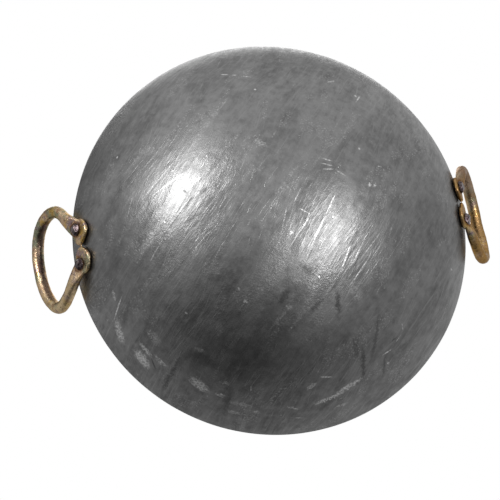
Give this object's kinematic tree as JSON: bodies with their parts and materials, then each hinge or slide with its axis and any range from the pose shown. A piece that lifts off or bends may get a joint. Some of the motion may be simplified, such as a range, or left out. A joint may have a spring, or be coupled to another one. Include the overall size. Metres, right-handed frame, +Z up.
{
  "type": "iron kadai",
  "caption": "Round-bottomed iron cooking bowl with two forged ring handles riveted to its sides, for deep frying and stewing.",
  "frame": {"origin": "lowest point of the round bottom, on the surface that the kadai stands on", "axes": "+Z up out of the mouth; X through the two handles, the picture's left one at -X; Y across the bowl"},
  "size_m": [0.3612, 0.2996, 0.1518],
  "materials": {
    "bowl_iron": "satin, polished by hand, with fine scratches",
    "handle_steel": "yellow passivated, worn and mottled",
    "rivet_steel": "dark, hammered"
  },
  "bodies": {
    "root": {"bowl": "bowl_iron", "handle_left": "handle_steel", "handle_right": "handle_steel", "rivet_left_front": "rivet_steel", "rivet_left_rear": "rivet_steel", "rivet_right_front": "rivet_steel", "rivet_right_rear": "rivet_steel"}
  },
  "joints": []
}
